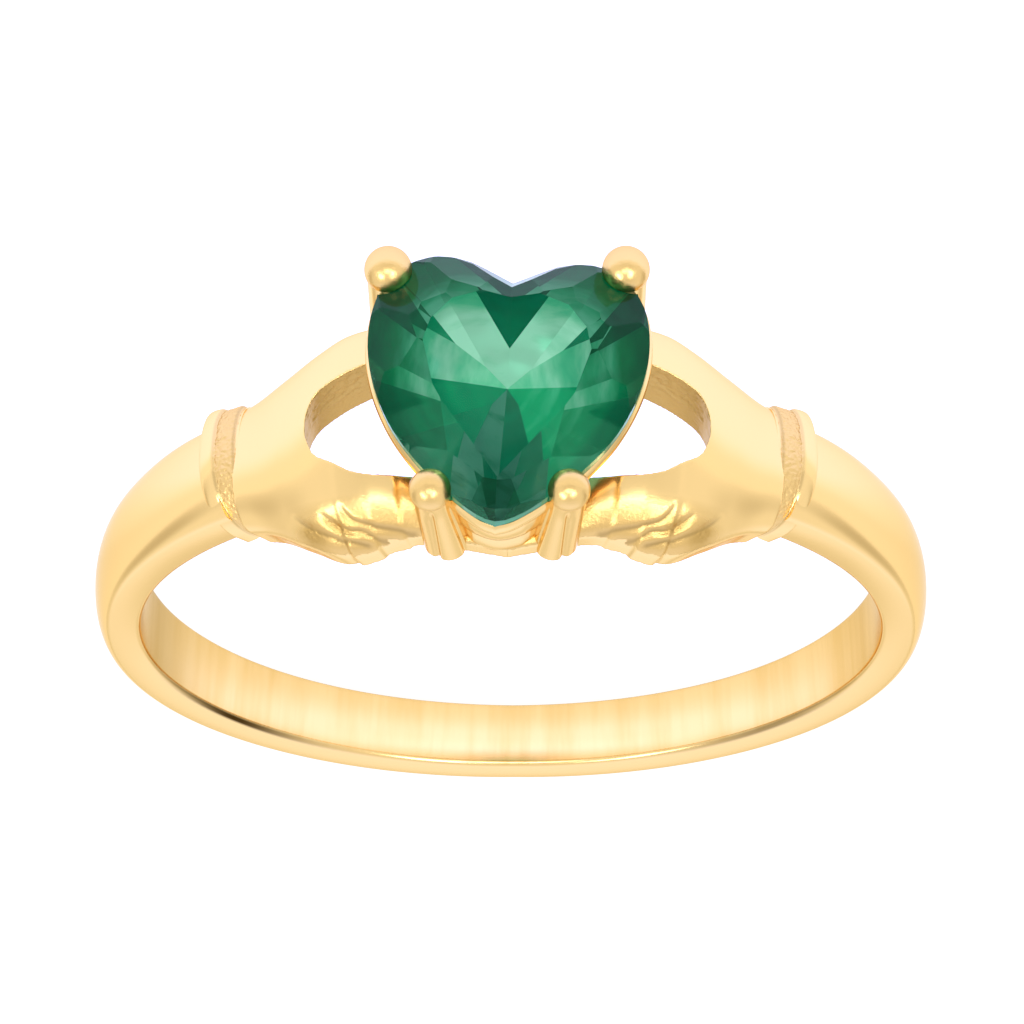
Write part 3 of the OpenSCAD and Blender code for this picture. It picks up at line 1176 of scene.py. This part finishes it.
@dataclass
class Heart:
    """Outline and heights of the heart-cut stone, shared with its basket."""

    hole_r: float
    width: float = 6.0
    length: float = 6.1
    lift: float = 2.9
    crown_h: float = 0.9
    pavilion_h: float = 2.4
    # The stone sits a little askew in its prongs
    askew: float = -3.8
    pivot_y: float = 0.43
    nudge: float = 0.042
    seat_gap: float = 0.04
    # Half outline from the tip to the notch: shares of the half width and of the length
    outline: Rows = (
        (0, -0.667), (0.14, -0.64), (0.36, -0.56), (0.6, -0.447), (0.8, -0.318), (0.94, -0.165), (1, 0),
        (0.96, 0.16), (0.82, 0.27), (0.63, 0.325), (0.44, 0.333), (0.24, 0.305), (0.1, 0.265), (0, 0.237),
    )

    @property
    def girdle(self) -> float:
        """Height of the girdle above the ring's middle."""
        return self.hole_r + self.lift

    @property
    def shift(self) -> float:
        """How far the heart's widest place lies towards the lobes."""
        return 0.15 * self.length

    def turn(self, obj: Piece) -> None:
        """Turns a finished piece askew with the stone.

        Args:
            obj: the piece.
        """
        x, y, z = places_of(obj).T
        y = y - self.pivot_y
        cos, sin = math.cos(math.radians(self.askew)), math.sin(math.radians(self.askew))
        put(obj, np.stack([x * cos - y * sin, x * sin + y * cos + self.pivot_y + self.nudge, z], -1))

    def seat(self, stone: Piece) -> Piece:
        """Makes the room that the metal leaves for the stone.

        Args:
            stone: the stone.

        Returns:
            A copy of the stone with its clearance.
        """
        seat = copy_of(stone, "seat")
        grow = 1 + self.seat_gap / self.width
        with editing(seat):
            resize(grow, grow, grow, (0, self.pivot_y, self.girdle))
        return seat

    def half(self, count: int) -> np.ndarray:
        """Half outline from the tip to the notch, in even steps."""
        rows = np.array(self.outline) * [self.width / 2, self.length] + [0, self.shift]
        return even_path(rows, count)

    def loop(self, count: int) -> np.ndarray:
        """Whole outline, counter-clockwise from the tip."""
        half = self.half(count // 2 + 1)
        return np.vstack([half, (half[1:-1] * [-1, 1])[::-1]])


@dataclass
class Basket:
    """Heart-shaped rail under the girdle, and stacked rails below the tip."""

    heart: Heart
    rail_h: float = 0.42
    drop: float = 0.156
    # Girdle rail: shares of the outline outside, and inside at its underside and its top
    girdle_rail: tuple[float, float, float] = (1.02, 0.83, 0.985)
    # How far the outsides of the girdle rail and of the tip rails curve in at their edges
    bulges: tuple[float, float] = (0.03, 0.05)
    # Tip rails: height above the hole and height of the rail as shares of the girdle's,
    # shares of the outline outside and inside, and how far the tip is rounded
    tip_rails: Rows = ((0.07, 0.3, 0.89, 0.74, 60), (0.41, 0.34, 0.945, 0.74, 40), (0.06, 0.76, 0.84, 0.78, 60))
    cut_y: float = -1.75

    def rail(self, name: str, low: float, high: float, outer: float, inner_low: float,
             inner_high: float, rounded: int, bulge: float) -> Piece:
        """One rail, drawn up from the heart's outline ring by ring.

        Args:
            name: name of the part.
            low: height of its underside.
            high: height of its top.
            outer: share of the heart's outline at its outside.
            inner_low: share of the outline inside, at the underside.
            inner_high: the same at the top.
            rounded: how many times the tip is smoothed.
            bulge: how far the outside curves in at its edges, as a share.

        Returns:
            The rail as a closed loop.
        """
        loop = self.heart.loop(240)
        rail = add_circle(name, len(loop), fill="NOTHING")
        put(rail, at_height(loop * inner_low, low))
        t = np.linspace(-1, 1, 9)
        shares = outer * (1 - bulge * (1 - np.sqrt(1 - 0.96 * t**2)))
        heights = low + (high - low) * (t + 1) / 2
        with editing(rail):
            if rounded:
                pick(rail, lambda p: p[:, 1] < self.heart.shift - 0.5 * self.heart.length)
                bpy.ops.mesh.vertices_smooth(factor=0.5, repeat=rounded)
            select_all()
            share, level = inner_low, low
            for next_share, next_level in [*zip(shares, heights), (inner_high, high)]:
                extrude_up(next_level - level)
                resize(next_share / share, next_share / share, 1)
                share, level = next_share, next_level
            select_open()
            bpy.ops.mesh.bridge_edge_loops()
            face_out()
        return rail

    def build(self, stone: Piece) -> Piece:
        """Builds the rails, cuts the lower ones behind the posts, and all round the stone.

        Args:
            stone: the finished stone.

        Returns:
            The basket.
        """
        top = self.heart.girdle - self.drop
        parts = [self.rail("rail", top - self.rail_h, top, *self.girdle_rail, 0, self.bulges[0])]
        for low, tall, outer, inner, rounded in self.tip_rails:
            z = self.heart.hole_r + low * self.heart.lift
            part = self.rail("tip_rail", z, z + tall * self.heart.lift, outer, inner, inner, int(rounded),
                             self.bulges[1])
            # The tall tip rail is darker all over: painted shade
            mark(part, "crease", np.full(len(part.data.vertices), 0.35 if tall > 0.5 else 0.0))
            with editing(part):
                bpy.ops.mesh.bisect(plane_co=(0, self.cut_y, 0), plane_no=(0, 1, 0), use_fill=True,
                                    clear_outer=True)
            parts.append(part)
        for part in parts:
            self.heart.turn(part)
            cut(part, self.heart.seat(stone))
        return join(parts, "basket")


@dataclass
class Prongs:
    """Four posts with bead ends, two at the lobes and two beside the tip."""

    heart: Heart
    bead_d: float = 1.03
    post_d: float = 1.02
    bead_lift: float = 0.3
    # Bead and foot: shares of the stone's half width and length, foot's height as a share
    # of the girdle's, bead's size as a share, the grooves' depth as a share, and how far
    # the pair stands aside and back
    prongs: Rows = ((0.845, 0.305, 0.8, 0.17, 0.31, 1.0, 0.0, 0.0, -0.09),
                    (0.49, -0.55, 0.385, -0.515, 0.035, 0.88, 0.16, -0.14, 0.0))
    # Grooves round a post, as angle, width and depth: the middle two turn towards the foot
    # by this much, and all end below the bead
    grooves: Rows = ((0.0, 0.12, 0.75), (0.0, 0.42, 0.5))
    side_groove: Sequence[float] = (-0.95, 0.12, 0.35)
    twist: float = 0.4
    groove_end: tuple[float, float] = (0.92, 0.77)

    def post(self, foot: Vector, bead: Vector, top_d: float, groove: float) -> Piece:
        """Draws up a tapered post, grooved into ribs on the side of the tip.

        Args:
            foot: middle of its foot.
            bead: middle of its bead.
            top_d: its width at the bead.
            groove: depth of the grooves as a share.

        Returns:
            The post.
        """
        post = add_circle("post", 200, 0.5)
        run, steps = (bead - foot).length, 20
        with editing(post):
            resize(self.post_d, self.post_d, 1)
            ratio = (top_d / self.post_d) ** (1 / steps)
            for _ in range(steps):
                extrude_up(run / steps)
                resize(ratio, ratio, 1)
            face_out()
        p = places_of(post)
        t, turn = p[:, 2] / run, np.arctan2(p[:, 1], p[:, 0])
        twisted = turn - self.twist * (1 - t)
        side, wide, share = self.side_groove
        grooves = sum(deep * bell(twisted, *at) for *at, deep in self.grooves) + share * bell(turn, side, wide)
        s = 1 - groove * fade(t, *self.groove_end) * grooves
        put(post, p * np.stack([s, s, np.ones(len(p))], -1))
        place_at(post, foot, bead)
        return post

    def build(self, stone: Piece) -> Piece:
        """Builds the posts and beads of one side, copies them across and cuts their seats.

        Args:
            stone: the finished stone.

        Returns:
            The prongs.
        """
        parts = []
        half, length, shift = self.heart.width / 2, self.heart.length, self.heart.shift
        for bx, by, fx, fy, lift, share, groove, aside, down in self.prongs:
            bead = Vector((bx * half, by * length + shift, self.heart.girdle + self.bead_lift))
            foot = Vector((fx * half, fy * length + shift, self.heart.hole_r + lift * self.heart.lift))
            size = share * self.bead_d
            post = self.post(foot, bead, 0.9 * size, groove)
            deselect()
            bpy.ops.mesh.primitive_uv_sphere_add(segments=64, ring_count=40, radius=size / 2, location=bead)
            ball = named("ball")
            bpy.ops.object.transform_apply(location=True, rotation=False, scale=False)
            # The beads are left satin, rougher and darker; their darker colour is partly painted shade
            mark(ball, "cast", np.full(len(ball.data.vertices), 0.4))
            for part in (post, ball):
                for piece in (part, copy_across(part, part.name + "_across")):
                    put(piece, places_of(piece) + [aside, down, 0])
                    cut(piece, self.heart.seat(stone))
                    parts.append(piece)
        return join(parts, "prongs")


Dressed = tuple[Vector, Sequence[Tone]]


@dataclass
class Stone:
    """Heart-cut stone: one half is cut plane by plane as on a lap, then mirrored."""

    heart: Heart
    girdle_top: float = 0.09
    girdle_low: float = -0.096
    culet_y: float = 0.45
    # Crown facets between the mains: steepness at the girdle, and at the table, where they
    # start this far in; then the steepness of the pavilion's
    crown_break: float = 1.35
    star_slope: float = 0.62
    star_in: float = 0.17
    pavilion_break: float = 1.3
    # Painted shade on the crown by place: each facet's tint towards the darker edge green, full at the tip and
    # from the middle on, clearer in a band between
    crown_shade: Rows = ((-2.3, 1.0), (-2.1, 0.31), (-1.3, 0.31), (-0.5, 1.0))
    # Crown: outward direction in plan, and how far out the facet meets the table
    crown: Rows = ((-0.42, 0.91, 1.74), (0.0, 1.0, 1.88), (0.64, 0.77, 2.12), (0.87, 0.5, 2.15), (1.0, 0.0, 1.84),
                   (0.86, -0.51, 1.5), (0.72, -0.7, 1.78), (0.42, -0.91, 2.53))
    # Pavilion: outward direction in plan, steepness against a facet that meets the culet,
    # and the painted reflection tone of its green on the left and on the right
    pavilion: Sequence[tuple[float, float, float, Tone, Tone]] = (
        (-0.3, 0.95, 1.12, Tone.DARK, Tone.DARK), (0.1, 0.99, 1.0, Tone.MINT, Tone.MINT),
        (0.6, 0.8, 1.03, Tone.MINT, Tone.MINT), (0.84, 0.54, 1.06, Tone.GREEN, Tone.DEEP),
        (1.0, 0.02, 1.0, Tone.PALE, Tone.PALE), (0.88, -0.47, 1.0, Tone.GREEN, Tone.VIVID),
        (0.74, -0.67, 1.02, Tone.DEEP, Tone.VIVID), (0.45, -0.89, 1.0, Tone.GREY, Tone.DARK),
    )
    # Painted reflection tones of the girdle facets between the mains, from the notch round to the tip, left and
    # right
    breaks: Sequence[tuple[Tone, Tone]] = (
        (Tone.DEEP, Tone.DEEP), (Tone.GREEN, Tone.DEEP), (Tone.DEEP, Tone.GREEN), (Tone.VIVID, Tone.DEEP),
        (Tone.DEEP, Tone.DEEP), (Tone.GREY, Tone.VIVID), (Tone.GREY, Tone.GREY),
    )

    def reach(self, out: np.ndarray) -> float:
        """How far the outline reaches in a direction."""
        return float((self.heart.half(901) @ out).max())

    def facet(self, stone: Piece, height: float, reach: float, slope: float, out: np.ndarray, up: bool) -> Vector:
        """Grinds one facet.

        Args:
            stone: the half stone.
            height: height at which the facet starts.
            reach: how far out it lies there.
            slope: rise for each millimetre inwards.
            out: outward direction in plan.
            up: whether the facet is on the crown.

        Returns:
            The facet's outward normal.
        """
        normal = Vector((slope * out[0], slope * out[1], 1 if up else -1)).normalized()
        with editing(stone):
            bpy.ops.mesh.bisect(plane_co=(*(out * reach), height), plane_no=normal, use_fill=True,
                                clear_outer=True, threshold=1e-5)
        return normal

    def cut_crown(self, stone: Piece) -> None:
        """Cuts the crown's mains, then the girdle and table facets between them.

        Args:
            stone: the half stone.
        """
        top, rise = self.heart.girdle + self.girdle_top, self.heart.crown_h - self.girdle_top
        mains = [(unit(np.array(row[:2])), row[2]) for row in self.crown]
        for out, table in mains:
            reach = self.reach(out)
            self.facet(stone, top, reach, rise / (reach - table), out, True)
        for (a, near), (b, far) in zip(mains, mains[1:]):
            out = unit(a + b)
            reach, table = self.reach(out), float(np.linalg.solve([a, b], [near, far]) @ out)
            slope = rise / (reach - table)
            self.facet(stone, top, reach, self.crown_break * slope, out, True)
            self.facet(stone, self.heart.girdle + self.heart.crown_h, table - self.star_in,
                       self.star_slope * slope, out, True)

    def cut_pavilion(self, stone: Piece) -> list[Dressed]:
        """Cuts the pavilion's mains, then the girdle facets between them.

        Args:
            stone: the half stone.

        Returns:
            The facets' normals and tones.
        """
        sides = [unit(np.array(row[:2])) for row in self.pavilion]
        plan = [(out, row[2], row[3:]) for out, row in zip(sides, self.pavilion)]
        plan += [(unit(a + b), self.pavilion_break, tones) for a, b, tones in zip(sides, sides[1:], self.breaks)]
        drop = self.heart.pavilion_h + self.girdle_low
        dressed = []
        for out, steep, tones in plan:
            reach = self.reach(out)
            slope = steep * drop / (reach - self.culet_y * float(out[1]))
            normal = self.facet(stone, self.heart.girdle + self.girdle_low, reach, slope, out, False)
            dressed.append((normal, tones))
        return dressed

    def build(self) -> Piece:
        """Cuts one half of the stone and mirrors it.

        Returns:
            The stone.
        """
        half = self.heart.half(45)
        stone = add_circle("stone_cut", len(half))
        put(stone, at_height(half, self.heart.girdle - self.heart.pavilion_h))
        with editing(stone):
            extrude_up(self.heart.pavilion_h + self.heart.crown_h)
            face_out()
        self.cut_crown(stone)
        dressed = self.cut_pavilion(stone)
        with editing(stone):
            pick(stone, lambda p: np.abs(p[:, 0]) < 1e-4)
            bpy.ops.mesh.delete(type="ONLY_FACE")
        mirror_x(stone)
        with editing(stone):
            bpy.ops.mesh.remove_doubles(threshold=0.004)
            face_out()
        self.tell_tones(stone, dressed)
        self.heart.turn(stone)
        return stone

    def tell_tones(self, stone: Piece, dressed: Sequence[Dressed]) -> None:
        """Marks each facet with its painted reflection tone, its side and its share of the rim.

        Args:
            stone: the whole stone, not yet turned askew.
            dressed: normals and tones of the pavilion's facets.
        """
        marks: dict[str, list[float]] = {"tone": [], "rim": [], "pavilion": [], "girdle": []}
        for face in stone.data.polygons:
            n = Vector((abs(face.normal.x), face.normal.y, face.normal.z))
            m = Vector((-n.x, n.y, n.z))
            fit = [max(n.dot(normal), m.dot(normal)) for normal, _ in dressed]
            below, upright = face.normal.z < 0.05, abs(face.normal.z) < 0.05
            tone = Tone.DEEP if upright else dressed[int(np.argmax(fit))][1][int(face.center.x > 0)]
            dim = float(np.interp(face.center.y, *zip(*self.crown_shade)))
            marks["tone"].append(tone.value)
            marks["rim"].append(1.0 if below else dim * (face.normal.z < 0.999))
            marks["pavilion"].append(float(below))
            marks["girdle"].append(float(upright))
        for name, values in marks.items():
            mark(stone, name, np.array(values), "FACE")
        z = places_of(stone)[:, 2]
        mark(stone, "height", fade(z, z.min(), self.heart.girdle))


# ---- studio


@dataclass(frozen=True)
class Studio:
    """Light table under the ring, a white tent round it with grey cards, and three lamps."""

    bed: Bed
    tilt: float = 67.0
    turn: float = 0.5
    distance: float = 200.0
    pixels_per_mm: float = 44.71
    centre_px: tuple[float, float] = (510.9, 595.6)
    frame_px: int = 1024
    sensor: float = 36.0
    # The tent's light from the horizon up to the top
    tent: Rows = ((0.0, 0.9, 0.9, 0.9), (0.12, 0.94, 0.93, 0.9), (0.2, 1.08, 1.08, 1.12),
                  (0.25, 1.2, 1.25, 1.5), (0.5, 1.2, 1.25, 1.55), (1.0, 1.2, 1.25, 1.5))
    # Light of its front and sides, each after the places between which it changes
    front: tuple[float, float, Sequence[float]] = (-0.1, 0.75, (0.93, 0.92, 0.89, 1))
    sides: tuple[float, float, Sequence[float]] = (0.3, 0.75, (1.06, 1.06, 1.05, 1))
    # A card's light, its middle, how far it is squeezed each way, its inner and outer reach,
    # and how dense it is
    card: Sequence[float] = (0.6, 0.56, 0.48, 1)
    card_middle: Sequence[float] = (0.88, 0.34, 0.3)
    card_squeeze: Sequence[float] = (1.0, 0.75, 2.0)
    card_reach: tuple[float, float] = (0.1, 0.62)
    card_dense: float = 0.8
    # Lamps: name, place and size in metres, and watts
    lamps: Sequence[tuple[str, Sequence[float], Sequence[float], float]] = (
        ("key", (-0.25, -0.35, 0.5), (0.18, 0.3), 0.8),
        ("fill", (0.3, -0.2, 0.45), (0.18, 0.3), 0.7),
        ("bar", (0.0, -0.4, 0.32), (0.34, 0.09), 0.35),
    )
    # Place on the bench that the lamps face
    aim: Sequence[float] = (0, 0, 6)

    def sight(self) -> tuple[Vector, Vector, Vector]:
        """Reads the camera's direction from the fit to the photograph.

        Returns:
            Direction to the camera, picture-right and picture-up, on the bench.
        """
        tilt, turn = math.radians(self.tilt), math.radians(self.turn)
        to_camera = Vector((math.sin(turn), -math.cos(tilt) * math.cos(turn), math.sin(tilt) * math.cos(turn)))
        right = Vector((0, math.sin(tilt), math.cos(tilt))).cross(to_camera).normalized()
        return to_camera, right, to_camera.cross(right)

    def camera(self) -> None:
        """Sets the camera where the photograph was taken from."""
        to_camera, right, up = self.sight()
        eye = to_camera * self.distance
        off_x = (self.frame_px / 2 - self.centre_px[0]) / self.pixels_per_mm
        off_y = (self.centre_px[1] - self.frame_px / 2) / self.pixels_per_mm
        back = (eye - right * off_x - up * off_y).normalized()
        right = up.cross(back).normalized()
        up = back.cross(right)
        turn = self.bed.matrix.to_3x3().normalized()
        data = bpy.data.cameras.new("camera")
        camera = bpy.data.objects.new("camera", data)
        bpy.context.scene.collection.objects.link(camera)
        data.sensor_width = self.sensor
        data.lens = self.pixels_per_mm * self.distance / self.frame_px * self.sensor
        data.clip_start, data.clip_end = 0.01, 10
        axes = Matrix((turn @ right, turn @ up, turn @ back)).transposed().to_4x4()
        camera.matrix_world = Matrix.Translation(self.bed.point(eye)) @ axes
        bpy.context.scene.camera = camera

    def floor(self) -> None:
        """Lays the light table under the ring."""
        board = add_circle("board", 96, 0.6)
        with editing(board):
            extrude_up(-0.01)
            face_out()
        board.data.materials.append(LightTable().make())

    def surround(self) -> None:
        """White tent, cooler and brighter above, with a soft grey card low on either side."""
        world = bpy.data.worlds.new("tent")
        world.use_nodes = True
        tree = world.node_tree
        tree.nodes.clear()
        place = add_node(tree, "TexCoord").outputs["Generated"]
        split = add_node(tree, "SeparateXYZ", Vector=place)
        tent = add_node(tree, "ValToRGB", Fac=split.outputs["Z"])
        fill_ramp(tent.color_ramp, self.tent)
        # The light is behind the ring; the tent's front only gives it back
        start, end, front = self.front
        behind = add_node(tree, "MapRange", EASED, Value=split.outputs["Y"], From_Min=start, From_Max=end)
        light = add_node(tree, "Mix", COLOURS, in0=behind, in6=front, in7=tent)
        # The tent is whitest behind and fades to plain white at the sides
        folded = add_node(tree, "VectorMath", "ABSOLUTE", in0=place)
        aside = add_node(tree, "SeparateXYZ", Vector=folded).outputs["X"]
        start, end, sides = self.sides
        plain = add_node(tree, "MapRange", EASED, Value=aside, From_Min=start, From_Max=end)
        light = add_node(tree, "Mix", COLOURS, in0=plain, in6=light, in7=sides)
        # The cards stand to the left and right and a little behind
        both = add_node(tree, "CombineXYZ", X=aside, Y=split.outputs["Y"], Z=split.outputs["Z"])
        flat = add_node(tree, "VectorMath", "MULTIPLY", in0=both, in1=self.card_squeeze)
        away = add_node(tree, "VectorMath", "DISTANCE", in0=flat, in1=self.card_middle)
        card = add_node(tree, "MapRange", EASED, Value=away, From_Min=self.card_reach[0],
                        From_Max=self.card_reach[1], To_Min=self.card_dense, To_Max=0.0)
        light = add_node(tree, "Mix", COLOURS, in0=card, in6=light, in7=self.card)
        back = add_node(tree, "Background", Color=light, Strength=1.0)
        add_node(tree, "OutputWorld", Surface=back)
        bpy.context.scene.world = world

    def window(self, name: str, place: Vector, size: Sequence[float], watts: float) -> None:
        """Hangs a soft box that faces the ring.

        Args:
            name: its name.
            place: where it hangs, in metres.
            size: its width and height in metres.
            watts: how bright it is.
        """
        data = bpy.data.lights.new(name, "AREA")
        data.shape, data.size, data.size_y, data.energy = "RECTANGLE", *size, watts
        lamp = bpy.data.objects.new(name, data)
        bpy.context.scene.collection.objects.link(lamp)
        lamp.location = place
        lamp.rotation_euler = (place - self.bed.point(self.aim)).to_track_quat("Z", "Y").to_euler()

    def build(self) -> None:
        """Sets up the studio."""
        self.floor()
        self.surround()
        for name, place, size, watts in self.lamps:
            self.window(name, Vector(place), size, watts)
        self.camera()
        bpy.context.scene.view_settings.view_transform = "Standard"


def main() -> None:
    """Builds the ring piece by piece, then the floor, the lights and the camera."""
    logging.basicConfig(level=logging.INFO, format="%(name)s: %(message)s")
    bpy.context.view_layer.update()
    bed = Bed.of_frame(frame["record"])
    gold = PolishedYellowGold().make()
    heart = Heart(bed.hole_r)

    band = Band(bed.hole_r)
    bed.finish(band.build(), gold, Slot.GOLD, Node.RING)
    cuff = Cuff(band).build("cuff_right")
    twin = copy_across(cuff, "cuff_left")
    for piece in (cuff, twin):
        bed.finish(piece, gold, Slot.GOLD, Node.RING)
    hand = Hands(bed.hole_r).build("hand_right")
    other = copy_across(hand, "hand_left")
    for piece in (hand, other):
        bed.finish(piece, gold, Slot.GOLD, Node.RING, sharp=180)
    stone = Stone(heart).build()
    bed.finish(Basket(heart).build(stone), gold, Slot.GOLD, Node.RING, sharp=45)
    bed.finish(Prongs(heart).build(stone), gold, Slot.GOLD, Node.RING, sharp=45)
    bed.finish(stone, FacetedGreenStone().make(), Slot.EMERALD, Node.STONE, sharp=1)
    Studio(bed).build()


if __name__ == "__main__":
    main()
